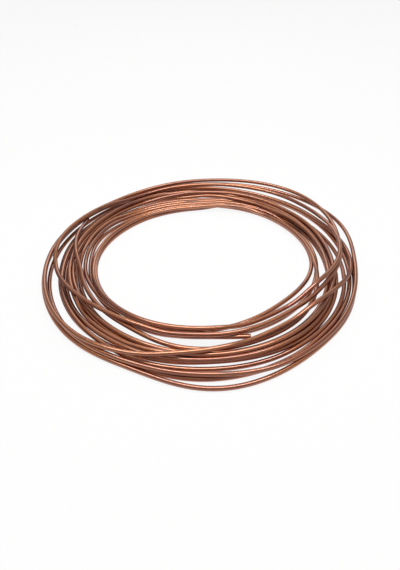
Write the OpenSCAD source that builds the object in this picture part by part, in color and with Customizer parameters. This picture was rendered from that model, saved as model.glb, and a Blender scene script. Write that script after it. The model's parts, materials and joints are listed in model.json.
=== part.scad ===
// Soft metal tube wound in a loose flat coil, lying on a level floor.
// One piece of tube: a turned body whose ridges are the turns, and the tube's two free ends.
// Millimetres, +Z up, the coil's axis on Z, the floor at Z = 0, the front at -Y.

/* [Tube] */
// Outside diameter of the tube
tube_od = 4.76; // [3:0.01:8]
// Inside diameter of the tube
tube_bore = 3.18; // [1.5:0.01:6]

/* [Coil] */
// Clear diameter through the middle of the coil
coil_bore = 240; // [160:1:400]
// Spacing of neighbouring turns in a row, centre to centre
turn_pitch = 7.37; // [6:0.01:12]
// Rise from one row of turns to the next
row_rise = 4.95; // [3:0.05:8]
// Turns in the row on the floor
floor_turns = 8; // [7:1:9]

/* [Free ends] */
// Straight length at each mouth, where a fitting goes on
end_straight = 18; // [12:1:30]
// Depth to which each end is shown as open tube
end_open = 30; // [15:1:50]
// Height of each end's middle over that of the turns it passes
end_rise = 5.72; // [5.6:0.01:6]

/* [Inner end] */
// Direction of the inner end's mouth, turned from the front towards +X
inner_angle = 21.5; // [0:0.5:90]
// How far that mouth lies outside the middle of the innermost turn
inner_offset = 8.62; // [6:0.01:10.5]
// Angle at which the inner end stands off from the turns
inner_lean = 20; // [17:0.5:22]
// Radius of the bend that leads the inner end down to the innermost turn
inner_bend = 118; // [100:1:140]
// Length of that bend
inner_length = 37; // [33:0.5:38]

/* [Outer end] */
// Direction of the outer end's mouth, turned from the front towards +X
outer_angle = 242; // [180:1:270]
// How far that mouth lies inside the middle of the outermost turn
outer_inset = 10.47; // [6:0.01:13]
// Angle at which the outer end stands off from the turns
outer_lean = 18; // [8:1:20]
// Radius of the bend that leads the outer end into the heap
outer_bend = 100; // [80:5:150]
// Length of that bend
outer_length = 38; // [34:1:44]

/* [Hidden] */
$fn = 64;
tube_r = tube_od / 2;
first_r = coil_bore / 2 + tube_r;
// Rows from the floor up: place of the first turn, counted in pitches, and number of turns
rows = [[0, floor_turns], [3, floor_turns - 3], [3, 2], [3.5, 1]];
top = len(rows) - 1;
function turn_r(place) = first_r + place * turn_pitch;
function turn_z(row) = tube_r + row * row_rise;
function first_place(row) = rows[row][0];
function last_place(row) = rows[row][0] + rows[row][1] - 1;
function spot(place, row) = [turn_r(place), turn_z(row)];
// The core's underside stays above the floor, so that only the turns touch it
core_floor = tube_r * 0.4;
// Distance of each mouth from the coil's axis
inner_reach = turn_r(first_place(0)) + inner_offset;
outer_reach = turn_r(last_place(0)) - outer_inset;
// The inner end stands clear of the row on the floor, and the outer end of the row above it
inner_z = turn_z(0) + end_rise;
outer_z = turn_z(1) + end_rise;

// Which sub-part to show

// Plain core through the middles of the outer turns, stepping up and down with the rows
function core_up() = [for (row = [0 : top])
    each (row < top && first_place(row + 1) - 0.5 > first_place(row)
        ? [spot(first_place(row), row), spot(first_place(row + 1) - 0.5, row)]
        : [spot(first_place(row), row)])];
function core_down() = [for (row = [top - 1 : -1 : 0])
    each (last_place(row + 1) + 0.5 < last_place(row)
        ? [spot(last_place(row + 1) + 0.5, row), spot(last_place(row), row)]
        : [spot(last_place(row), row)])];

// Section through the turns and the core between them
module section() {
    for (row = [0 : top])
        for (i = [0 : rows[row][1] - 1])
            translate(spot(first_place(row) + i, row))
                circle(r = tube_r);
    polygon(concat(
        [[turn_r(last_place(0)), core_floor], [turn_r(0), core_floor]],
        core_up(), core_down()));
}

// One free end with its mouth at the origin facing +X. On its way back it bends towards +Y,
// or turned by dip about its own axis, so that 90 is straight down
module free_end(bend, length, dip) {
    translate([-end_straight, 0, 0])
        rotate([0, 90, 0])
            cylinder(h = end_straight, r = tube_r);
    rotate([-dip, 0, 0])
        translate([-end_straight, bend, 0])
            rotate([0, 0, -90])
                mirror([0, 1, 0])
                    rotate_extrude(angle = length / bend * 180 / PI)
                        translate([bend, 0])
                            circle(r = tube_r);
}

// Bore of one free end
module free_bore() {
    translate([-end_open, 0, 0])
        rotate([0, 90, 0])
            cylinder(h = end_open + 1, r = tube_bore / 2);
}

module inner_place() {
    rotate([0, 0, inner_angle])
        translate([0, -inner_reach, inner_z])
            rotate([0, 0, -inner_lean])
                children();
}

module outer_place() {
    rotate([0, 0, outer_angle])
        translate([0, -outer_reach, outer_z])
            rotate([0, 0, outer_lean])
                mirror([1, 0, 0])
                    children();
}

// The whole coil as one piece of tube
module tube_coil() {
    color([0.72, 0.42, 0.29])
        difference() {
            union() {
                rotate_extrude()
                    section();
                inner_place() free_end(inner_bend, inner_length, 90);
                outer_place() free_end(outer_bend, outer_length, 0);
            }
            inner_place() free_bore();
            outer_place() free_bore();
        }
}

tube_coil();
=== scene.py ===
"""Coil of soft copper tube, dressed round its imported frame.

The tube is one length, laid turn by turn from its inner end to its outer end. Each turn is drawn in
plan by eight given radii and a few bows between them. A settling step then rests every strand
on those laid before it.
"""

import json
import math

import bmesh
import bpy
import numpy as np
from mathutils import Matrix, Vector, kdtree


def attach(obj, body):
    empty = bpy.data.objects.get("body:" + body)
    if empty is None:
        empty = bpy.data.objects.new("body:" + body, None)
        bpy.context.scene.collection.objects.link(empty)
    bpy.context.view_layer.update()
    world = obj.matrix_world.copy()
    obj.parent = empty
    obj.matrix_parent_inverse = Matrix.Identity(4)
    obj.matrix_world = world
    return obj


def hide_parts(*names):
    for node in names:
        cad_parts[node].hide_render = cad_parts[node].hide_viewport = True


bl_info = {
    "name": "Copper Tube Coil",
    "version": (1, 0, 0),
    "blender": (4, 5, 0),
    "location": "View3D > Sidebar > Tube Coil",
    "description": "Builds a loose flat coil of soft copper tube on a studio floor",
    "category": "Add Mesh",
}

MM = 0.001

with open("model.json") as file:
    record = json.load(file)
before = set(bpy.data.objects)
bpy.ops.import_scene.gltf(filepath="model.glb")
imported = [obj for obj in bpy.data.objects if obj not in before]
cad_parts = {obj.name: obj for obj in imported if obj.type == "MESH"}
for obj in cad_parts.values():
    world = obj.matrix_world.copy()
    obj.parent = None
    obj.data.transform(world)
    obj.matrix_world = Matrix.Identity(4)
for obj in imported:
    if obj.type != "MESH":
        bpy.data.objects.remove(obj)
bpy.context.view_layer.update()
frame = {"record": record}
MOUNTS = {mount["name"]: mount for mount in frame["record"]["mounts"]}
END_RADIUS = MOUNTS["inner_end"]["dims"]["r_mm"] * MM

# Radius of each turn in millimetres at eight stations, going round clockwise seen from above:
# front, front left, left, back left, back, back right, right and front right.
# A row runs on into the next one, so the last stations lead to the front of the next turn.
TURNS = (
    # The inner end, its mouth right of the front, then twice round the inside of the heap
    (119.8, 121.8, 126.5, 129, 128.5, 132.5, 130, 110.5),
    (111.5, 116.2, 120.2, 117, 120, 137.5, 135, 124),
    # The floor layer, from the inside out
    (116.5, 120, 133, 136, 134, 142.5, 145.8, 146.5),
    (139.4, 137, 138, 141, 139.5, 147.5, 150.6, 151.3),
    (144.2, 141.7, 143, 146, 145, 152.5, 153.2, 156.1),
    (149.2, 156, 159.5, 162, 156, 150, 148.2, 153.5),
    # Turns that lie on those, and drift outwards at the back
    (150.8, 151.5, 153.5, 156, 150.5, 145, 144.5, 146.2),
    (142, 139.8, 145.5, 148.5, 153.3, 155, 150.7, 149.5),
    (146.2, 146.4, 148, 151, 161.5, 161.5, 164, 160.9),
    (156.3, 157.3, 156.4, 159, 167, 176, 170.8, 165.7),
    # The outermost turns
    (167.5, 168.5, 171, 170.5, 172.5, 181, 176, 170.6),
    (180.2, 174.5, 176, 173, 177, 193, 177, 170.5),
    # Slack turns across the top, from the outside at the back to the inside at the front
    (165.2, 170.5, 174, 168, 169.5, 171, 174.5, 138.5),
    (145.5, 171, 172, 166, 176.5, 195, 161.5, 127.5),
    (121.4, 132, 166, 161, 170, 182, 160, 118),
    (115.8, 120.3, 121.5, 118, 116.5, 128.5, 131.5, 138.5),
    # The outer end, which rises over the left of the heap and ends under the slack turns
    (137.3, 131, 137.5, 155),
)
STATIONS = 8
# Radius in millimetres one station before the first turn, where the inner end comes from
LEAD_IN = 125
# Places where a strand bows between two stations: its turn, the angle round the coil from the front
# towards +X, how far it bows outwards, and over what angle, in millimetres and degrees
BOWS = (
    (0, 250, 5, 12),
    (0, 62, -1, 14),
    (5, 255, 2, 10),
    (9, 334, 1.4, 10),
    (10, 336, -5.1, 11),
    (10, 58, 2, 11),
    (11, 340, -10, 14),
    (11, 112, 9, 14),
    (11, 22, 3, 11),
    (12, 337, -2, 11),
    (12, 23, -1, 11),
    (13, 15, 4, 14),
    (15, 152, 2.5, 11),
    (15, 25, -2, 14),
    (16, 330, -2.5, 10),
)
# Least height in millimetres of the springy turns, at the front and at the back of each
SPRUNG = {
    1: (5, 2.4),
    11: (2.4, 10),
    12: (2.4, 8),
    13: (6, 16),
    14: (9.5, 12),
    15: (4, 2.4),
    16: (7, 13),
}
# From TUCK_FROM on, counted in turns, the tube counts as laid TUCK_BACK turns earlier, so that its
# outer end lies under the slack turns and not over them
TUCK_FROM = 15.74
TUCK_BACK = 4.5
# How far from each mouth the tube runs straight, and where it has joined its turn, in millimetres
LEADS = {"inner_end": (18, 75), "outer_end": (18, 100)}
# Two places on the tube that are nearer than this, in diameters along it, can't lie on one another
SAME_STRAND = 4
# Share of the spacing of points, along a strand, within which a point of another lies beside it
BESIDE_SHARE = 0.6
# How far along the tube a crossing holds a strand up, and how far its bend spreads, in millimetres
HOLD_REACH = 20
BEND_SPREAD = 12
# Spreads that a bend is followed for on each side of it, and rounds of settling
BEND_TAILS = 3
SETTLE_ROUNDS = 24
# How far the middle of the rounded lip has gone along the tube, as a share of the rounding
LIP_MIDDLE = 0.7

# Patterns on the copper: length along the tube and width across it in millimetres, and detail.
# Real die lines are too fine to show, so they are drawn half a millimetre wide
PATTERNS = {"handled": (140, 9, 3), "patches": (38, 5, 4), "lines": (60, 0.5, 2)}
# Levels of a pattern between which the copper goes from clean to fully browned or tarnished
BROWNED = (0.38, 0.68)
TARNISHED = (0.55, 0.78)
# Levels of the die lines, and the roughness of the copper at each
LINE_LEVELS = (0.3, 0.7)
ROUGHNESS = (0.28, 0.38)
# Strength of the die lines as bump, and their depth in millimetres
LINE_STRENGTH = 0.25
LINE_DEPTH = 0.02
# The clear film over the copper
FILM_WEIGHT = 0.9
FILM_ROUGHNESS = 0.12
FILM_IOR = 1.9
# Sockets of a colour mix: its share, its two colours, and its result
MIX_SHARE, MIX_FIRST, MIX_SECOND, MIX_RESULT = 0, 6, 7, 2

# Half the width of the floor in metres, and the share of plain white in what is seen of it
FLOOR_HALF = 10
PLAIN_WHITE = 0.9
# Lamps: name, width and depth in metres, watts and place. Each one faces the middle of the coil
LAMPS = (
    ("soft_box", 1.0, 0.25, 7.0, (0, -0.05, 1.0)),
    ("back_card", 1.2, 0.5, 2.6, (0, 1.2, 0.8)),
)
ROOM_STRENGTH = 0.4
# The picture is upright, so the sensor's width in millimetres goes along its height in pixels
PICTURE_HEIGHT = 570
SENSOR_WIDTH = 36
CLIP_START = 0.01


def linear(code):
    """Linear RGBA of an sRGB hex colour."""
    shares = [int(code[i : i + 2], 16) / 255 for i in (1, 3, 5)]
    return [s / 12.92 if s <= 0.04045 else ((s + 0.055) / 1.055) ** 2.4 for s in shares] + [1.0]


WHITE = linear("#FFFFFF")


class TubeSettings(bpy.types.PropertyGroup):
    """Sizes of the tube and of the mesh that shows it."""

    outside: bpy.props.FloatProperty(
        name="Outside diameter",
        description="Outside diameter of the tube",
        default=2 * END_RADIUS,
        unit="LENGTH",
    )
    bore: bpy.props.FloatProperty(
        name="Bore",
        description="Inside diameter of the tube",
        default=3.18 * MM,
        unit="LENGTH",
    )
    open_depth: bpy.props.FloatProperty(
        name="Open depth",
        description="Depth to which each end is open",
        default=30 * MM,
        unit="LENGTH",
    )
    lip: bpy.props.FloatProperty(
        name="Lip",
        description="Rounding that the cutter leaves at each mouth",
        default=0.2 * MM,
        unit="LENGTH",
    )
    ring_angle: bpy.props.FloatProperty(
        name="Ring angle",
        description="Angle round the coil from ring to ring",
        default=math.radians(2),
        subtype="ANGLE",
    )
    sides: bpy.props.IntProperty(
        name="Sides",
        description="Sides of each ring, an even number",
        default=24,
        min=8,
    )


class FinishSettings(bpy.types.PropertyGroup):
    """Colours of the copper."""

    bright: bpy.props.FloatVectorProperty(
        name="Bright",
        description="Clean drawn copper",
        default=linear("#B66E40"),
        subtype="COLOR",
        size=4,
    )
    dull: bpy.props.FloatVectorProperty(
        name="Dull",
        description="Handled, browned copper",
        default=linear("#944E2C"),
        subtype="COLOR",
        size=4,
    )
    tarnish: bpy.props.FloatVectorProperty(
        name="Tarnish",
        description="Darker oxide in patches",
        default=linear("#602A16"),
        subtype="COLOR",
        size=4,
    )
    edge: bpy.props.FloatVectorProperty(
        name="Edge",
        description="Tint of the copper where it is seen at a low angle",
        default=linear("#A27C65"),
        subtype="COLOR",
        size=4,
    )


class StageSettings(bpy.types.PropertyGroup):
    """Camera and floor."""

    elevation: bpy.props.FloatProperty(
        name="Elevation",
        description="Camera height above the horizon",
        default=math.radians(38.15),
        subtype="ANGLE",
    )
    distance: bpy.props.FloatProperty(
        name="Distance",
        description="Camera to the middle of the coil",
        default=0.529,
        unit="LENGTH",
    )
    focal_pixels: bpy.props.FloatProperty(
        name="Focal length",
        description="Focal length in pixels of the picture",
        default=451,
    )
    centre_row: bpy.props.FloatProperty(
        name="Centre row",
        description="Pixel row on which the coil's middle falls",
        default=263.9,
    )
    floor: bpy.props.FloatVectorProperty(
        name="Floor",
        description="Pale floor",
        default=linear("#F6F6F4"),
        subtype="COLOR",
        size=4,
    )


def add_node(tree, kind, sockets, **settings):
    """Add a node, set its properties, and give its sockets values or links."""
    made = tree.nodes.new(kind)
    for name, value in settings.items():
        setattr(made, name, value)
    for name, value in sockets.items():
        if isinstance(value, bpy.types.NodeSocket):
            tree.links.new(value, made.inputs[name])
        else:
            made.inputs[name].default_value = value
    return made


def smooth_line(values, places):
    """Smooth curve through evenly spaced values, read at places counted in spacings."""
    values = np.asarray(values, float)
    last = len(values) - 1
    whole = np.clip(np.floor(places).astype(int), 0, last - 1)
    part = places - whole
    before, here, there, after = (values[np.clip(whole + k, 0, last)] for k in (-1, 0, 1, 2))
    return 0.5 * (
        2 * here
        + (there - before) * part
        + (2 * before - 5 * here + 4 * there - after) * part**2
        + (3 * here - before - 3 * there + after) * part**3
    )


def mouth_of(name):
    """Middle of a tube end's mouth, and the way it faces."""
    mount = MOUNTS[name]
    facing = np.array(mount["axis"])
    return np.array(mount["pos_m"]) + facing * mount["dims"]["length_mm"] * MM / 2, facing


def angle_of(point):
    """Angle round the coil in degrees, 0 at the front and growing towards +X."""
    return math.degrees(math.atan2(point[0], -point[1])) % 360


def blend_to_mouth(plan, name, along):
    """Lead the plan straight out of a mouth, and say how far the mouth holds each point.

    along is each point's distance from the mouth.
    """
    mouth, facing = mouth_of(name)
    hold, join = (length * MM for length in LEADS[name])
    share = np.clip((along - hold) / (join - hold), 0, 1)
    share = (share * share * (3 - 2 * share))[:, None]
    straight = mouth[:2] - facing[:2] * along[:, None]
    return straight * (1 - share) + plan * share, 1 - share[:, 0]


def draw_plan(step):
    """The tube seen from above: points from the inner mouth to the outer one, and their angles."""
    start = angle_of(mouth_of("inner_end")[0])
    end = angle_of(mouth_of("outer_end")[0]) - 360 * len(TURNS)
    count = round((start - end) / step)
    angles = np.linspace(start, end, count + 1)
    station = 360 / STATIONS
    radii = [LEAD_IN] + [radius for turn in TURNS for radius in turn]
    radius = smooth_line(radii, 1 - angles / station)
    for turn, angle, bow, width in BOWS:
        middle = -360 * turn - (360 - angle) % 360
        radius += bow * np.exp(-0.5 * ((angles - middle) / width) ** 2)
    around = np.radians(angles)
    return np.stack([radius * np.sin(around), -radius * np.cos(around)], 1) * MM, angles


def laying_order(angles):
    """When each place on the tube is laid, counted in turns. What is laid later lies on top."""
    turns = -angles / 360
    return np.where(turns < TUCK_FROM, turns, turns - TUCK_BACK)


def least_heights(angles, radius):
    """Height of the tube's middle that the floor, and the spring of some turns, ask for."""
    halves = np.full(2 * len(TURNS) + 1, radius)
    for turn, (front, back) in SPRUNG.items():
        halves[2 * turn] = front * MM
        halves[2 * turn + 1] = back * MM
    return np.maximum(np.interp(-angles / 180, np.arange(len(halves)), halves), radius)


def find_crossings(plan, laid, outside, spacing):
    """Pairs of places where one strand lies over another: upper, lower and the rise between them."""
    along = np.gradient(plan, axis=0)
    along /= np.linalg.norm(along, axis=1)[:, None]
    tree = kdtree.KDTree(len(plan))
    for i, point in enumerate(plan):
        tree.insert((*point, 0), i)
    tree.balance()
    nearest_on_same_strand = int(SAME_STRAND * outside / spacing) + 2
    upper, lower, rise = [], [], []
    for i, point in enumerate(plan):
        for _, j, _ in tree.find_range((*point, 0), outside + spacing):
            if abs(i - j) <= nearest_on_same_strand or laid[j] > laid[i]:
                continue
            gap = plan[j] - point
            if abs(gap @ along[i]) > BESIDE_SHARE * spacing:
                continue
            beside = abs(gap[0] * along[i][1] - gap[1] * along[i][0])
            if beside < outside:
                upper.append(i)
                lower.append(j)
                rise.append(math.sqrt(outside**2 - beside**2))
    return np.array(upper), np.array(lower), np.array(rise)


def settle(plan, laid, least, outside):
    """Heights at which each strand rests on those laid before it, bent as gently as stiff tube."""
    spacing = np.linalg.norm(np.diff(plan, axis=0), axis=1).mean()
    upper, lower, rise = find_crossings(plan, laid, outside, spacing)
    reach = round(HOLD_REACH * MM / spacing)
    spread = BEND_SPREAD * MM / spacing
    tail = math.ceil(BEND_TAILS * spread)
    weights = np.exp(-0.5 * (np.arange(-tail, tail + 1) / spread) ** 2)
    weights /= weights.sum()
    heights = least.copy()
    for _ in range(SETTLE_ROUNDS):
        needed = least.copy()
        np.maximum.at(needed, upper, heights[lower] + rise)
        padded = np.pad(needed, reach, mode="edge")
        held = np.lib.stride_tricks.sliding_window_view(padded, 2 * reach + 1).max(1)
        heights = np.convolve(np.pad(held, tail, mode="edge"), weights, mode="valid")
    return heights


def run_lengths(points):
    """Distance of each point from the first one, along the tube."""
    return np.concatenate([[0], np.cumsum(np.linalg.norm(np.diff(points, axis=0), axis=1))])


def lay_tube(tube):
    """Middle line of the whole tube, in metres, from the inner mouth to the outer one."""
    plan, angles = draw_plan(math.degrees(tube.ring_angle))
    along = run_lengths(plan)
    plan, inner_hold = blend_to_mouth(plan, "inner_end", along)
    plan, outer_hold = blend_to_mouth(plan, "outer_end", along[-1] - along)
    least = least_heights(angles, tube.outside / 2)
    for name, hold in (("inner_end", inner_hold), ("outer_end", outer_hold)):
        least = least + (mouth_of(name)[0][2] - least) * hold
    heights = settle(plan, laying_order(angles), least, tube.outside)
    return np.column_stack([plan, heights])


def sweep_tube(line, tube):
    """Round tube along a line, open at both ends, as a mesh with its rings in order."""
    curve = bpy.data.curves.new("tube_line", "CURVE")
    curve.dimensions = "3D"
    curve.twist_mode = "Z_UP"
    curve.bevel_depth = tube.outside / 2
    # A round bevel has four sides, and two more for each step of its resolution
    curve.bevel_resolution = (tube.sides - 4) // 2
    spline = curve.splines.new("POLY")
    spline.points.add(len(line) - 1)
    spline.points.foreach_set("co", np.column_stack([line, np.ones(len(line))]).ravel())
    holder = bpy.data.objects.new("tube_line", curve)
    mesh = bpy.data.meshes.new_from_object(holder)
    bpy.data.objects.remove(holder)
    bpy.data.curves.remove(curve)
    return mesh


def keep_straight_places(bm, line, tube):
    """Keep in each vertex where it lay on the straight tube: along it, across it and up."""
    straight = bm.verts.layers.float_vector.new("straight")
    forward = np.gradient(line, axis=0)
    lengths = run_lengths(line)
    bm.verts.ensure_lookup_table()
    for i, (middle, ahead, length) in enumerate(zip(line, forward, lengths)):
        side = Vector(ahead).cross(Vector((0, 0, 1))).normalized()
        up = side.cross(Vector(ahead)).normalized()
        for vert in bm.verts[i * tube.sides : (i + 1) * tube.sides]:
            spoke = vert.co - Vector(middle)
            vert[straight] = (length, spoke.dot(side), spoke.dot(up))


def cut_mouth(bm, rim, middle, facing, tube):
    """Close a tube end: a lip rounded by the cutter, the wall's cut face, and the bore behind it."""
    radius = tube.outside / 2
    for depth, reach in (
        (-tube.lip * LIP_MIDDLE, radius - tube.lip * (1 - LIP_MIDDLE)),
        (-tube.lip, radius - tube.lip),
        (-tube.lip, tube.bore / 2 + tube.lip / 2),
        (-tube.lip / 2, tube.bore / 2),
        (tube.open_depth, tube.bore / 2),
    ):
        made = bmesh.ops.extrude_edge_only(bm, edges=rim)["geom"]
        for vert in (g for g in made if isinstance(g, bmesh.types.BMVert)):
            spoke = vert.co - middle
            spoke -= facing * spoke.dot(facing)
            vert.co = middle - facing * depth + spoke.normalized() * reach
        rim = [g for g in made if isinstance(g, bmesh.types.BMEdge) and g.is_boundary]
    bmesh.ops.edgeloop_fill(bm, edges=rim)


def put_faces_in_order(bm):
    """Sort the faces by their vertices, because extruding makes them in another order each run."""
    bm.verts.index_update()
    count = len(bm.verts)

    def place(face):
        indices = [vert.index for vert in face.verts]
        return min(indices) * count + max(indices)

    bm.faces.sort(key=place)


def build_tube(line, tube):
    """The whole tube with its two open ends."""
    mesh = sweep_tube(line, tube)
    bm = bmesh.new()
    bm.from_mesh(mesh)
    keep_straight_places(bm, line, tube)
    rings = {"inner_end": bm.verts[: tube.sides], "outer_end": bm.verts[-tube.sides :]}
    rims = {
        name: [edge for edge in bm.edges if edge.is_boundary and edge.verts[0] in ring]
        for name, ring in rings.items()
    }
    for name, rim in rims.items():
        mouth, facing = mouth_of(name)
        cut_mouth(bm, rim, Vector(mouth), Vector(facing), tube)
    for face in bm.faces:
        face.smooth = True
    bmesh.ops.recalc_face_normals(bm, faces=bm.faces)
    put_faces_in_order(bm)
    bm.to_mesh(mesh)
    bm.free()
    mesh.name = "copper_tube"
    return mesh


def drawn_copper(finish):
    """Soft copper tube, drawn through a die: fine lines along it, a clear film, brown where handled.

    To the eye that is a warm metal with a soft sheen, and a paler, sharper glint from the film.
    """
    material = bpy.data.materials.new("drawn_copper")
    material.use_nodes = True
    tree = material.node_tree
    tree.nodes.clear()
    place = add_node(tree, "ShaderNodeAttribute", {}, attribute_name="straight")
    noise = {}
    for name, (along, across, detail) in PATTERNS.items():
        scale = (1 / (along * MM), 1 / (across * MM), 1 / (across * MM))
        placed = add_node(
            tree, "ShaderNodeMapping", {"Vector": place.outputs["Vector"], "Scale": scale}
        )
        grain = add_node(
            tree,
            "ShaderNodeTexNoise",
            {"Vector": placed.outputs["Vector"], "Scale": 1.0, "Detail": detail},
        )
        noise[name] = grain.outputs["Fac"]
    colour = tuple(finish.bright)
    for name, (clean, full), brown in (
        ("handled", BROWNED, finish.dull),
        ("patches", TARNISHED, finish.tarnish),
    ):
        share = add_node(
            tree,
            "ShaderNodeMapRange",
            {"Value": noise[name], "From Min": clean, "From Max": full},
            interpolation_type="SMOOTHSTEP",
        )
        mixed = add_node(
            tree,
            "ShaderNodeMix",
            {MIX_SHARE: share.outputs["Result"], MIX_FIRST: colour, MIX_SECOND: tuple(brown)},
            data_type="RGBA",
        )
        colour = mixed.outputs[MIX_RESULT]
    roughness = add_node(
        tree,
        "ShaderNodeMapRange",
        {
            "Value": noise["lines"],
            "From Min": LINE_LEVELS[0],
            "From Max": LINE_LEVELS[1],
            "To Min": ROUGHNESS[0],
            "To Max": ROUGHNESS[1],
        },
    )
    bump = add_node(
        tree,
        "ShaderNodeBump",
        {"Height": noise["lines"], "Strength": LINE_STRENGTH, "Distance": LINE_DEPTH * MM},
    )
    shader = add_node(
        tree,
        "ShaderNodeBsdfPrincipled",
        {
            "Base Color": colour,
            "Metallic": 1.0,
            "Specular Tint": tuple(finish.edge),
            "Roughness": roughness.outputs["Result"],
            "Normal": bump.outputs["Normal"],
            "Coat Weight": FILM_WEIGHT,
            "Coat Roughness": FILM_ROUGHNESS,
            "Coat IOR": FILM_IOR,
        },
    )
    add_node(tree, "ShaderNodeOutputMaterial", {"Surface": shader.outputs["BSDF"]})
    return material


def pale_floor(colour):
    """Matt white paper: plain white to the eye and in the metal, with the coil's soft shadow."""
    material = bpy.data.materials.new("white_paper")
    material.use_nodes = True
    tree = material.node_tree
    tree.nodes.clear()
    path = add_node(tree, "ShaderNodeLightPath", {})
    seen = path.outputs["Is Camera Ray"]
    for ray in ("Is Glossy Ray", "Is Transmission Ray"):
        either = add_node(tree, "ShaderNodeMath", {0: seen, 1: path.outputs[ray]}, operation="MAXIMUM")
        seen = either.outputs["Value"]
    share = add_node(tree, "ShaderNodeMath", {0: seen, 1: PLAIN_WHITE}, operation="MULTIPLY")
    paper = add_node(tree, "ShaderNodeBsdfDiffuse", {"Color": tuple(colour)})
    white = add_node(tree, "ShaderNodeEmission", {"Color": WHITE, "Strength": 1.0})
    mixed = add_node(
        tree,
        "ShaderNodeMixShader",
        {0: share.outputs["Value"], 1: paper.outputs["BSDF"], 2: white.outputs["Emission"]},
    )
    add_node(tree, "ShaderNodeOutputMaterial", {"Surface": mixed.outputs["Shader"]})
    return material


def link(name, data):
    """New object at the origin, in the scene."""
    made = bpy.data.objects.new(name, data)
    bpy.context.scene.collection.objects.link(made)
    return made


class COIL_OT_tube(bpy.types.Operator):
    """Lay the copper tube in its coil"""

    bl_idname = "coil.tube"
    bl_label = "Copper Tube"

    def execute(self, context):
        tube = context.scene.coil_tube
        mesh = build_tube(lay_tube(tube), tube)
        mesh.materials.append(drawn_copper(context.scene.coil_finish))
        piece = link("copper_tube", mesh)
        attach(piece, "root")
        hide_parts("tube_coil")
        return {"FINISHED"}


class COIL_OT_stage(bpy.types.Operator):
    """Set the floor, the light and the camera"""

    bl_idname = "coil.stage"
    bl_label = "Stage"

    def execute(self, context):
        stage = context.scene.coil_stage
        self.make_floor(stage)
        self.make_light(context.scene)
        self.make_camera(context.scene, stage)
        context.scene.view_settings.view_transform = "Standard"
        return {"FINISHED"}

    def make_floor(self, stage):
        """Wide sheet of paper under the coil."""
        bm = bmesh.new()
        bmesh.ops.create_grid(bm, x_segments=1, y_segments=1, size=FLOOR_HALF)
        mesh = bpy.data.meshes.new("floor")
        bm.to_mesh(mesh)
        bm.free()
        mesh.materials.append(pale_floor(stage.floor))
        link("floor", mesh)

    def make_light(self, scene):
        """A soft box overhead, a white card behind, and a dim even room."""
        for name, width, depth, watts, place in LAMPS:
            panel = bpy.data.lights.new(name, "AREA")
            panel.shape = "RECTANGLE"
            panel.size = width
            panel.size_y = depth
            panel.energy = watts
            lamp = link(name, panel)
            lamp.location = place
            lamp.rotation_euler = Vector(place).to_track_quat("Z", "Y").to_euler()
        world = bpy.data.worlds.new("room")
        world.use_nodes = True
        background = world.node_tree.nodes["Background"]
        background.inputs["Color"].default_value = WHITE
        background.inputs["Strength"].default_value = ROOM_STRENGTH
        scene.world = world

    def make_camera(self, scene, stage):
        """Camera that looks at the middle of the coil, from the front and above."""
        camera = bpy.data.cameras.new("camera")
        camera.sensor_width = SENSOR_WIDTH
        camera.lens = stage.focal_pixels * SENSOR_WIDTH / PICTURE_HEIGHT
        camera.shift_y = (stage.centre_row - PICTURE_HEIGHT / 2) / PICTURE_HEIGHT
        camera.clip_start = CLIP_START
        seat = link("camera", camera)
        back = Vector((0, -math.cos(stage.elevation), math.sin(stage.elevation)))
        seat.location = back * stage.distance
        seat.rotation_euler = back.to_track_quat("Z", "Y").to_euler()
        scene.camera = seat


class COIL_PT_panel(bpy.types.Panel):
    """Buttons and settings of the tube coil"""

    bl_label = "Tube Coil"
    bl_idname = "COIL_PT_panel"
    bl_space_type = "VIEW_3D"
    bl_region_type = "UI"
    bl_category = "Tube Coil"

    def draw(self, context):
        for settings, operator in (
            (context.scene.coil_tube, COIL_OT_tube),
            (context.scene.coil_finish, None),
            (context.scene.coil_stage, COIL_OT_stage),
        ):
            for name in settings.bl_rna.properties.keys():
                if name not in ("rna_type", "name"):
                    self.layout.prop(settings, name)
            if operator:
                self.layout.operator(operator.bl_idname)


CLASSES = (TubeSettings, FinishSettings, StageSettings, COIL_OT_tube, COIL_OT_stage, COIL_PT_panel)


def register():
    for cls in CLASSES:
        bpy.utils.register_class(cls)
    bpy.types.Scene.coil_tube = bpy.props.PointerProperty(type=TubeSettings)
    bpy.types.Scene.coil_finish = bpy.props.PointerProperty(type=FinishSettings)
    bpy.types.Scene.coil_stage = bpy.props.PointerProperty(type=StageSettings)


def unregister():
    del bpy.types.Scene.coil_stage
    del bpy.types.Scene.coil_finish
    del bpy.types.Scene.coil_tube
    for cls in reversed(CLASSES):
        bpy.utils.unregister_class(cls)


def main():
    register()
    bpy.ops.coil.stage()
    bpy.ops.coil.tube()


if __name__ == "__main__":
    main()
